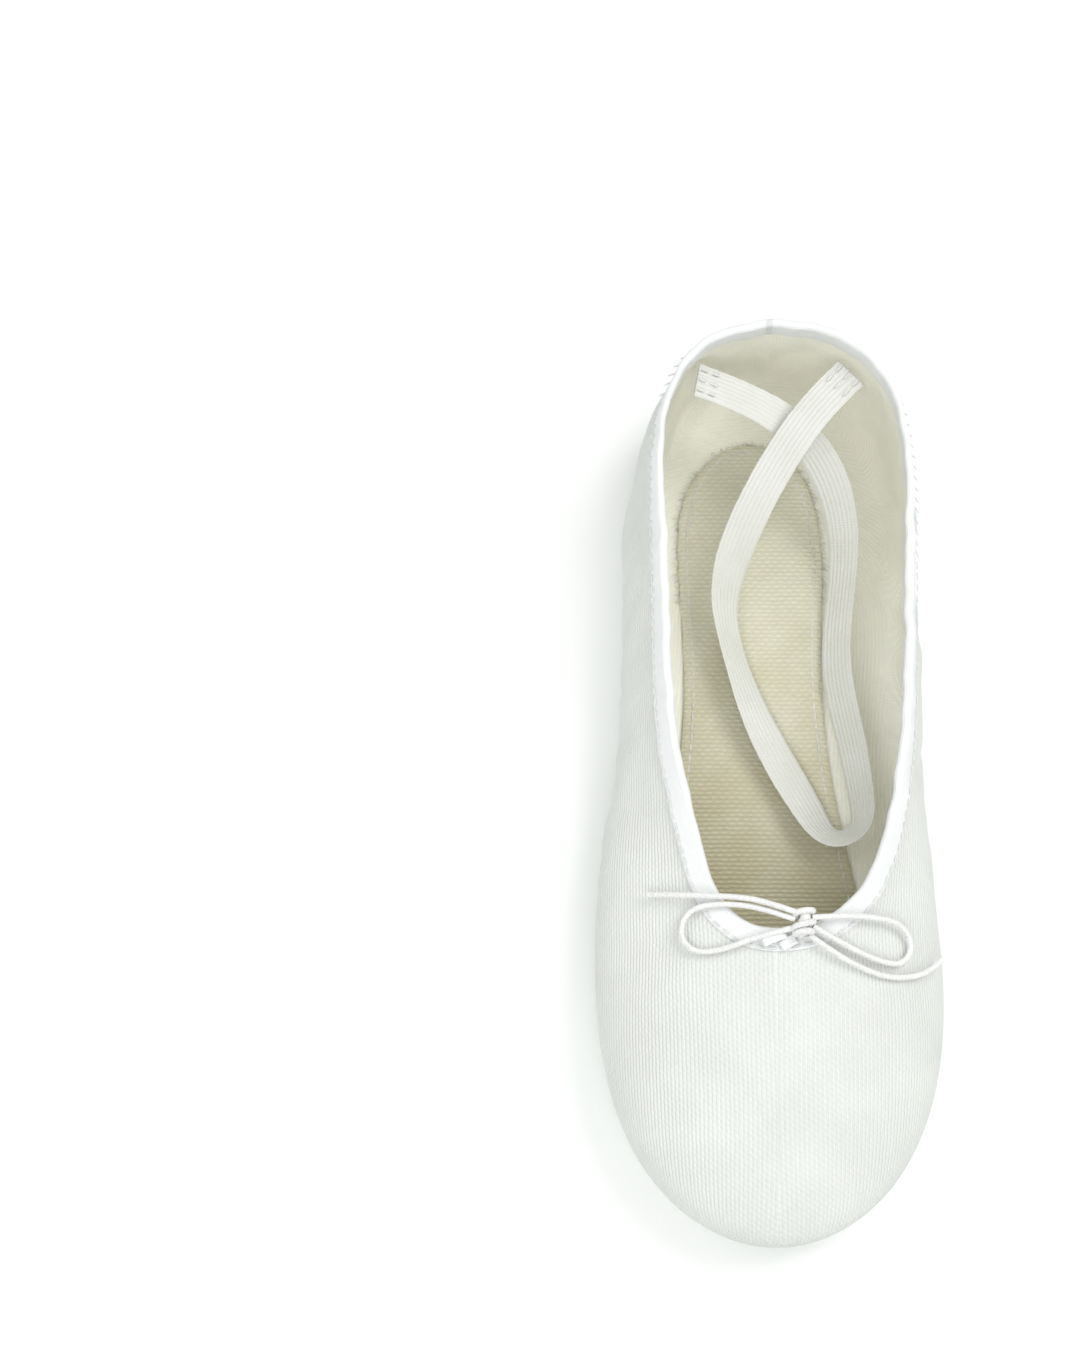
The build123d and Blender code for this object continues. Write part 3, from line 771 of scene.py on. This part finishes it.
def pleats(turn, t):
    """Gathers of the canvas, drawn in under the toe and laid flat under the forefoot patch."""
    off = turn + math.pi / 2
    fan = smooth(-np.abs(off), -1.25, -0.75)
    shift = 0.9 * np.sin(2.3 * off) + 0.5 * np.sin(5.1 * off + 1.0)
    crest = np.abs(np.cos(5.6 * off + shift)) ** 0.7
    long = 0.55 + 0.45 * np.sin(3.7 * off + 0.6)
    low = smooth(t, 0.05, 0.5) * (1 - smooth(t, 1.25, 1.95))
    depth = (fan * (0.35 + 0.65 * long))[:, None] * low[None, :]
    return depth * (crest[:, None] * 1.15 - 0.35)


def creases(travel, hub, turn, t):
    """Cross creases at the waist, where the empty slipper sags between its two sole patches."""
    y = hub[:, 1] + 30 * np.sin(turn)
    waist = np.exp(-(((y - 2) / 26.0) ** 2)) * smooth(np.abs(np.cos(turn)), 0.5, 0.9)
    band = np.exp(-(((t - 1.85) / 0.55) ** 2))
    slant = travel[:, None] + 7.0 * (t[None, :] - 1.8)
    first = waves(slant, (8.3, 12.1, 17.7), 1.0, 3)
    return waist[:, None] * band[None, :] * 0.55 * first


RIPPLE = waves(EDGE_TRAVEL[:-1], (9.0, 14.0, 23.0), 0.38, 44)  # of the drawn-up edge


def drape(t):
    """How far the cloth stands off its even shape, outwards, over stations and shares."""
    travel = EDGE_TRAVEL[:-1]
    hub, turn = HUB[:-1], TURN[:-1]
    free = (1 - smooth(t, 2.55, 2.8))[None, :] * smooth(t, 0.9, 1.5)[None, :]
    sag = waves(travel[:, None] + 22 * t[None, :], (41.0, 63.0, 97.0), 0.8, 11)
    heel = smooth(hub[:, 1] + 30 * np.sin(turn), 5, 50)
    slouch = waves(travel[:, None] + 14 * np.sin(1.7 * t)[None, :], (13.0, 21.0, 34.0), 0.75, 6)
    dimple = waves(travel[:, None] - 30 * t[None, :], (17.0, 23.0, 29.0), 0.16, 5)
    under = pleats(turn, t)
    total = free * (sag + dimple + heel[:, None] * slouch) + creases(travel, hub, turn, t) + under
    return total * (1 - smooth(t, 2.75, 2.9))[None, :] + RIPPLE[:, None] * smooth(t, 2.6, 3.0)


RING = Wall(HUB[:-1], TURN[:-1])
SHARES = np.concatenate(
    [np.linspace(0, 1, 18, endpoint=False), np.linspace(1, 2, 30, endpoint=False),
     np.linspace(2, 3, 42)]
)
DRAPE = drape(SHARES)


def canvas():
    outer = RING.place(SHARES, DRAPE)
    outer[..., 2] = np.maximum(outer[..., 2], 0.35)
    inner = RING.place(SHARES, DRAPE - CANVAS)
    piece = shell("canvas_upper", outer, inner, closed=True)
    weave_direction(piece)
    dress(piece, "canvas")
    across_flex(piece, "upper_canvas")


def folds(t):
    """Soft upright folds that stand in from the lining where nothing holds it flat."""
    travel = EDGE_TRAVEL[:-1][:, None] + 9 * np.sin(2.2 * t)[None, :]
    y = (HUB[:-1, 1] + 25 * np.sin(TURN[:-1]))[:, None]
    place = smooth(y, -45, 10) * np.ones_like(t)[None, :]
    free = smooth(t, 1.2, 1.9) * (1 - smooth(t, 2.6, 2.85))
    wave = waves(travel, (19.0, 27.0, 44.0), 1.0, 21)
    return place * free[None, :] * np.maximum(wave, 0) * 1.5


def lining():
    inward = DRAPE - folds(SHARES)
    face = RING.place(SHARES, inward + LINING_FACE)
    back = RING.place(SHARES, inward + LINING_BACK - back_seam(SHARES))
    piece = shell("lining_cloth", face, back, closed=True)
    weave_direction(piece)
    dress(piece, "lining")
    across_flex(piece, "upper_lining")


def back_seam(t):
    """The ridge of the lining's centre back seam allowance."""
    travel = EDGE_TRAVEL[:-1]
    total = EDGE_TRAVEL[-1]
    off = np.minimum(travel, total - travel)
    ridge = 0.22 * np.exp(-((off / 1.1) ** 2))
    heel = smooth(t, 1.3, 1.6) * (1 - smooth(t, 2.85, 2.95))
    return ridge[:, None] * heel[None, :]


def sweep_edge(name, profile, wobble):
    """A closed profile of (depth, past the edge) points carried round the raw edge."""
    stations = len(RING.hub)
    profile = np.array(profile, float)
    rows = np.zeros((stations, len(profile), 3))
    travel = EDGE_TRAVEL[:-1]
    step = waves(travel, (3.1, 5.3, 11.0), wobble, 31)
    for k, (depth, past) in enumerate(profile):
        section, along = section_below(past)
        normal = np.stack([along[:, 1], -along[:, 0]], -1)
        sign = 1 if depth > WALL_MIDDLE else -1
        rz = section + (depth + RIPPLE[:, None] + sign * step[:, None]) * normal
        rows[:, k] = RING.space(rz[:, None, :])[:, 0]
    faces = grid_faces(stations, len(profile), closed_rows=True, closed_columns=True)
    spread = np.concatenate([[0], np.cumsum(np.linalg.norm(np.diff(profile, axis=0), axis=1))])
    u = np.broadcast_to(spread[None, :], rows.shape[:2])
    v = np.broadcast_to(travel[:, None], rows.shape[:2])
    uv = np.stack([u, v], -1).reshape(-1, 2)
    return mesh_object(name, rows.reshape(-1, 3), faces, uv)


FINE = np.linspace(2.2, 3.0, 161)
FINE_POINT, FINE_ALONG = RING.section(FINE)
FINE_STEP = np.linalg.norm(np.diff(FINE_POINT, axis=1), axis=2)
FINE_BELOW = np.concatenate(
    [np.cumsum(FINE_STEP[:, ::-1], axis=1)[:, ::-1], np.zeros((len(RING.hub), 1))], 1
)


def section_below(past):
    """Section points and directions a distance along the wall from the edge, up or down."""
    if past >= 0:
        along = FINE_ALONG[:, -1]
        return FINE_POINT[:, -1] + past * along, along
    point, along = np.zeros((len(RING.hub), 2)), np.zeros((len(RING.hub), 2))
    for s in range(len(RING.hub)):
        below = FINE_BELOW[s][::-1]
        for c in range(2):
            point[s, c] = np.interp(-past, below, FINE_POINT[s, ::-1, c])
            along[s, c] = np.interp(-past, below, FINE_ALONG[s, ::-1, c])
    return point, along / np.linalg.norm(along, axis=1, keepdims=True)


def binding():
    """Folded tape over the raw edge, with the drawstring's round channel along its top."""
    radius = CORD / 2 + BINDING + 0.06
    leg = BINDING_LEG
    out, inn = BINDING + 0.05, LINING_BACK - BINDING - 0.05
    profile = [(0.05, -leg), (out - 0.1, -leg - 0.05), (out, -leg + 0.2)]
    profile += [(out + 0.05, -leg * 0.7), (out - 0.02, -leg * 0.45), (out, -leg * 0.2), (out, 0.1)]
    for turn in np.linspace(-15, 195, 13):
        a = math.radians(turn)
        profile.append(
            (WALL_MIDDLE + radius * 1.05 * math.cos(a), CORD_PAST_EDGE + radius * math.sin(a))
        )
    profile += [(inn, 0.1), (inn, -leg * 0.2), (inn - 0.02, -leg * 0.45), (inn - 0.05, -leg * 0.7)]
    profile += [(inn, -leg + 0.2), (inn + 0.1, -leg - 0.05), (LINING_BACK - 0.05, -leg)]
    profile += [(LINING_BACK - 0.02, 0.03), (0.02, 0.03)]
    piece = sweep_edge("edge_binding", profile, 0.06)
    dress(piece, "binding")
    across_flex(piece, "collar_binding")


def drawstring():
    section, along = section_below(CORD_PAST_EDGE)
    normal = np.stack([along[:, 1], -along[:, 0]], -1)
    rz = section + (WALL_MIDDLE + RIPPLE[:, None]) * normal
    route = RING.space(rz[:, None, :])[:, 0]
    piece = tube("drawstring_cord", route, CORD / 2, 12, 1.8, 0.03, closed=True)
    dress(piece, "cord")
    across_flex(piece, "drawstring")


def tape_ends():
    """The two cut ends of the binding, turned out beneath the knot."""
    for name, start, heading, length in (
        ("binding_end_left", (2.6, -48.9, 40.7), (-0.93, -0.34, -0.10), 6.5),
        ("binding_end_right", (5.2, -50.2, 40.3), (-0.88, -0.45, -0.16), 4.5),
    ):
        along = np.array(heading) / np.linalg.norm(heading)
        side = np.cross(along, [0, 0, 1])
        side /= np.linalg.norm(side)
        up = np.cross(side, along)
        rows = []
        for s in np.linspace(0, 1, 10):
            centre = np.array(start) + along * length * s + up * 0.5 * math.sin(3 * s)
            curl = [side * w + up * (0.5 * abs(w) * (1 - s) + 0.12 * w * s) for w in
                    np.linspace(-1.3, 1.3, 9)]
            rows.append([centre + c for c in curl])
        top = np.array(rows)
        bottom = top - up * 0.4
        plan = np.indices(top.shape[:2]).transpose(1, 2, 0).reshape(-1, 2) * 0.4
        piece = shell(name, top, bottom, uv=np.concatenate([plan, plan]))
        dress(piece, "binding")
        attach(piece, "root")


# ---- the insole, the elastic and the sole ----
INSOLE_EDGE = closed_curve(INSOLE_PLAN, 360)


def spine(edge):
    """The point on the insole's middle line that each edge point looks towards."""
    y = np.clip(edge[:, 1], -72, 84)
    knots = np.array([(-101, 0.5), (-60, 0.0), (-20, 2.2), (20, 0.5), (66, 0.5), (105, 1)])
    return np.stack([np.interp(y, knots[:, 0], knots[:, 1]), y], 1)


def insole():
    edge = INSOLE_EDGE
    middle = spine(edge)
    shares = np.concatenate([np.linspace(0.0, 0.9, 30), [0.94, 0.97, 0.985, 0.995, 1.0]])
    plan = middle[:, None] + shares[None, :, None] * (edge - middle)[:, None]
    travel = around(edge)
    ragged = waves(travel, (2.1, 3.3, 7.9), 0.35, 8) * smooth(edge[:, 1], 40, 70)
    outward = (edge - middle) / np.linalg.norm(edge - middle, axis=1, keepdims=True)
    plan[:, -1] += outward * ragged[:, None]
    bunch = waves(plan[..., 1] + 0.25 * plan[..., 0], (31.0, 47.0), 0.22, 2)
    bunch += waves(plan[..., 0] * 1.3 + plan[..., 1] * 0.2, (23.0, 37.0), 0.12, 4)
    rounding = 0.35 * smooth(shares, 0.965, 1.0)
    top = INSOLE_FLOOR + INSOLE + (bunch + 0.2) * (1 - smooth(shares, 0.9, 1.0)) - rounding
    upper = np.concatenate([plan, np.broadcast_to(top, plan.shape[:2])[..., None]], -1)
    lower = upper.copy()
    lower[..., 2] = INSOLE_FLOOR + 0.15 * smooth(shares, 0.965, 1.0)
    uv_of = [g[..., :2].reshape(-1, 2) for g in (upper, lower)]
    n, m = upper.shape[:2]
    verts = np.concatenate([upper.reshape(-1, 3), lower.reshape(-1, 3)])
    i, i2 = np.arange(n), (np.arange(n) + 1) % n
    rim = np.stack([i * m, i * m + n * m, i2 * m + n * m, i2 * m], -1) + m - 1
    faces = np.concatenate(
        [grid_faces(n, m, closed_rows=True), grid_faces(n, m, n * m, True, True), rim[:, ::-1]]
    )
    piece = mesh_object("insole_cloth", verts, faces, np.concatenate(uv_of))
    dress(piece, "insole")
    across_flex(piece, "insole")
    fray(edge, outward)


def fray(edge, outward):
    """Loose warp ends along the cut back edge of the insole."""
    verts, faces = [], []
    for k in np.flatnonzero(edge[:, 1] > 55):
        for _ in range(2):
            base = edge[k] + rng.uniform(-0.5, 0.5, 2)
            length = rng.uniform(0.6, 2.0)
            heading = outward[k] + rng.uniform(-0.7, 0.7, 2)
            heading /= np.linalg.norm(heading)
            bend = rng.uniform(-0.5, 0.5)
            side = np.array([-heading[1], heading[0]])
            z = INSOLE_FLOOR + rng.uniform(0.3, 1.0)
            first = len(verts)
            for s in np.linspace(0, 1, 5):
                centre = base + heading * length * s + side * bend * s * s
                width = 0.11 * (1 - 0.5 * s)
                for corner in ((-1, 0), (1, 0), (0, 1.6)):
                    xy = centre + side * width * corner[0]
                    verts.append((xy[0], xy[1], z + width * corner[1] - 0.3 * s))
            for r in range(4):
                a, b = first + 3 * r, first + 3 * r + 3
                for c in range(3):
                    d = (c + 1) % 3
                    faces.append((a + c, a + d, b + d, b + c))
            faces.append((first + 2, first + 1, first))
            faces.append((first + 12, first + 13, first + 14))
    piece = mesh_object("insole_fray", verts, faces)
    dress(piece, "thread")
    across_flex(piece)


ELASTIC_WIDTH = 10.0
ELASTIC_THICKNESS = 0.9
ELASTIC_PATH = [
    ((26, 107.5, 45), 0), ((17, 99, 41.5), 0), ((5.5, 84, 34.5), -3), ((-4, 67, 24.5), -14),
    ((-8, 51, 16), -38), ((-5, 35, 11.5), -42), ((0.5, 19, 9.5), -26), ((7.5, 4, 9), -15),
    ((14, -8.5, 9.6), -25), ((20.2, -15.6, 10.8), -46), ((26, -14, 12), -58),
    ((27.8, -4, 12.2), -56), ((25.5, 14, 11.5), -48), ((23, 33, 11.2), -45),
    ((24.2, 51, 13), -45), ((25.5, 67, 18), -42), ((22, 83, 25.5), -28), ((13, 95, 32), -10),
    ((-1, 102, 38.5), 0), ((-16.5, 105.5, 45), 0),
]


def through(points, samples):
    """Natural cubic spline through rows of numbers, evenly sampled in chord length."""
    p = np.asarray(points, float)
    n = len(p)
    h = np.linalg.norm(np.diff(p[:, :3], axis=0), axis=1)
    a, b = np.eye(n), np.zeros_like(p)
    for i in range(1, n - 1):
        a[i, i - 1], a[i, i], a[i, i + 1] = h[i - 1], 2 * (h[i - 1] + h[i]), h[i]
        b[i] = 6 * ((p[i + 1] - p[i]) / h[i] - (p[i] - p[i - 1]) / h[i - 1])
    m = np.linalg.solve(a, b)
    ends = np.concatenate([[0], np.cumsum(h)])
    s = np.linspace(0, ends[-1], samples)
    i = np.clip(np.searchsorted(ends, s, side="right") - 1, 0, n - 2)
    x, y, hi = (s - ends[i])[:, None], (ends[i + 1] - s)[:, None], h[i][:, None]
    return (
        (m[i] * y**3 + m[i + 1] * x**3) / (6 * hi)
        + (p[i] / hi - m[i] * hi / 6) * y
        + (p[i + 1] / hi - m[i + 1] * hi / 6) * x
    )


def elastic():
    """Ribbed elastic band, laid down in the slipper and sewn at its two ends to the heel."""
    rows = through([(*place, roll) for place, roll in ELASTIC_PATH], 420)
    centre, roll = rows[:, :3], np.radians(rows[:, 3])
    along = np.gradient(centre, axis=0)
    along /= np.linalg.norm(along, axis=1, keepdims=True)
    left = np.cross([0, 0, 1], along)
    left /= np.linalg.norm(left, axis=1, keepdims=True)
    up = np.cross(along, left)
    c, s = np.cos(roll)[:, None], np.sin(roll)[:, None]
    across, face = left * c + up * s, up * c - left * s
    travel = around(centre)
    wide = np.linspace(-1, 1, 57)
    rib = 0.07 * np.cos(2 * math.pi * wide * ELASTIC_WIDTH / 2 / 1.25)
    half = ELASTIC_THICKNESS / 2 * np.sqrt(np.clip(1 - wide**12, 0, 1)) - 0.08
    edge = waves(travel, (3.0, 4.7, 13.0), 0.08, 17)
    sides = []
    for sign in (1, -1):
        height = sign * np.maximum(half + rib * (1 - wide**8), 0.03)
        lay = centre[:, None] + across[:, None] * (
            wide[None, :, None] * (ELASTIC_WIDTH / 2 + edge[:, None, None])
        )
        sides.append(lay + face[:, None] * height[None, :, None])
    u = np.broadcast_to(wide[None, :] * ELASTIC_WIDTH / 2, (len(travel), len(wide)))
    v = np.broadcast_to(travel[:, None], u.shape)
    grid = np.stack([u, v], -1).reshape(-1, 2)
    piece = shell("elastic_band", sides[0], sides[1], uv=np.concatenate([grid, grid]))
    dress(piece, "elastic")
    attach(piece, "elastic")
    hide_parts("elastic_loop")


def patch(name, shape, row, body, node):
    """A suede sole patch: soft cut edge, stitch groove and a face that is never quite flat."""
    turn = np.linspace(0, 2 * math.pi, 260, endpoint=False)
    insets = np.concatenate([[0.0, 0.12, 0.35, 0.8], np.linspace(1.4, row - 0.8, 3),
                             np.linspace(row - 0.6, row + 0.6, 9),
                             np.linspace(row + 1.0, shape[3] / 2 - 0.5, 70)])
    x, y, length, width, taper = shape
    wobble = 0.22 * waves(turn * 57.3, (7.0, 13.0, 41.0), 1.0, 9)
    grid = []
    for inset in insets:
        grow = wobble * max(0.0, 1 - inset / 3)
        grid.append(
            np.stack(
                [
                    x + (width / 2 - inset + grow) * np.cos(turn) * (1 - taper * np.sin(turn)),
                    y + (length / 2 - inset * (length / width if inset > 6 else 1) + grow)
                    * np.sin(turn),
                ],
                1,
            )
        )
    plan = np.stack(grid, 1)
    rounding = 0.45 * np.clip(1 - insets / 0.8, 0, 1) ** 2
    groove = 0.42 * np.exp(-(((insets - row) / 0.42) ** 4))
    uneven = waves(plan[..., 0] + 0.4 * plan[..., 1], (19.0, 31.0), 0.05, 12)
    uneven += waves(plan[..., 1] - 0.3 * plan[..., 0], (23.0, 37.0), 0.05, 13)
    if shape == FOREFOOT_EGG:
        inner = closed_curve(egg(INNER_EGG), 300)
        away = np.linalg.norm(plan[:, :, None] - inner[None, None, ::2], axis=3).min(2)
        groove = groove + 0.42 * np.exp(-((away / 0.55) ** 4))
    low = np.maximum(rounding + groove + 0.02 + (uneven + 0.06) * smooth(insets, 3, 9), 0.0)
    bottom = np.concatenate([plan, np.broadcast_to(low, plan.shape[:2])[..., None]], -1)
    top = bottom.copy()
    top[..., 2] = SUEDE - 0.15 * np.clip(1 - insets / 0.8, 0, 1)
    n, m = bottom.shape[:2]
    verts = np.concatenate([bottom.reshape(-1, 3), top.reshape(-1, 3)])
    i, i2 = np.arange(n), (np.arange(n) + 1) % n
    rim = np.stack([i * m, i * m + n * m, i2 * m + n * m, i2 * m], -1)
    faces = grid_faces(n, m, closed_rows=True).tolist()
    faces += grid_faces(n, m, n * m, True, True).tolist() + rim[:, ::-1].tolist()
    faces.append([int(k * m + m - 1) for k in range(n)])
    faces.append([int(n * m + k * m + m - 1) for k in range(n)][::-1])
    piece = mesh_object(name, verts, faces)
    dress(piece, "suede")
    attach(piece, body)
    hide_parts(node)


# ---- stitches ----
def islands(node):
    """Corner sets of a CAD node's separate solids."""
    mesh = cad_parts[node].data
    co = np.zeros(len(mesh.vertices) * 3)
    mesh.vertices.foreach_get("co", co)
    co = co.reshape(-1, 3) / MM
    keys, where = np.unique(np.round(co, 3), axis=0, return_inverse=True)
    where = np.asarray(where).ravel()
    parent = np.arange(len(keys))

    def root(k):
        while parent[k] != k:
            parent[k] = parent[parent[k]]
            k = parent[k]
        return k

    for polygon in mesh.polygons:
        corner = [root(where[v]) for v in polygon.vertices]
        for other in corner[1:]:
            parent[root(other)] = root(corner[0])
    roots = np.array([root(k) for k in range(len(keys))])
    return [keys[roots == r] for r in np.unique(roots)]


def stitches(node, body=None, girth=0.27):
    """Each stitch as a short length of two-ply thread that narrows at both ends."""
    verts, faces = [], []
    turn = np.linspace(0, 2 * math.pi, 8, endpoint=False)
    shares = np.linspace(-1, 1, 11)
    for corners in islands(node):
        centre = corners.mean(0)
        along, across, normal = np.linalg.svd(corners - centre, full_matrices=False)[2]
        half = np.ptp((corners - centre) @ along) / 2
        along = along + across * rng.uniform(-0.07, 0.07)
        first = len(verts)
        for s in shares:
            wide = girth * (0.75 + 0.25 * math.sqrt(max(0.0, 1 - s**4)))
            middle = centre + along * half * s
            for a in turn:
                lobe = wide * (1 + 0.16 * math.cos(2 * (a + 3.2 * s)))
                offset = across * lobe * math.cos(a) + normal * lobe * 0.72 * math.sin(a)
                verts.append(middle + offset * (1 - 0.55 * s**6))
        count = len(turn)
        for r in range(len(shares) - 1):
            a0, b0 = first + r * count, first + (r + 1) * count
            for c in range(count):
                d = (c + 1) % count
                faces.append((a0 + c, a0 + d, b0 + d, b0 + c))
        faces.append(tuple(first + c for c in range(count))[::-1])
        last = first + (len(shares) - 1) * count
        faces.append(tuple(last + c for c in range(count)))
    piece = mesh_object(node + "_thread", verts, faces)
    dress(piece, "thread")
    if body is None:
        across_flex(piece, node)
    else:
        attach(piece, body)
        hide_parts(node)


def all_stitches():
    """The rows on the soft pieces over the arch, then the thicker rows that each ride on one body.
    """
    for node in ("collar_stitching", "insole_stitching", "arch_seam_stitching"):
        stitches(node)
    for node, body in (
        ("forefoot_stitching", "root"), ("forefoot_inner_stitching", "root"),
        ("heel_stitching", "heel"), ("heel_strip_stitching", "heel"),
        ("elastic_tack_left", "elastic"), ("elastic_tack_right", "elastic"),
    ):
        stitches(node, body, 0.3)


def carried():
    """CAD nodes whose own shape is right, with their materials."""
    for node, material in (
        ("heel_strip", "strip"), ("forefoot_pad", "felt"), ("heel_pad", "felt"),
    ):
        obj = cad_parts[node]
        obj.data.materials.clear()
        obj.data.materials.append(MATERIALS[material])
        if not obj.data.uv_layers:
            obj.data.uv_layers.new(name="UVMap")


camera()
lighting()
floor()
bow()
canvas()
lining()
binding()
drawstring()
tape_ends()
insole()
elastic()
patch("forefoot_suede", FOREFOOT_EGG, 2.8, "root", "forefoot_sole_patch")
patch("heel_suede", HEEL_EGG, 2.6, "heel", "heel_sole_patch")
all_stitches()
carried()
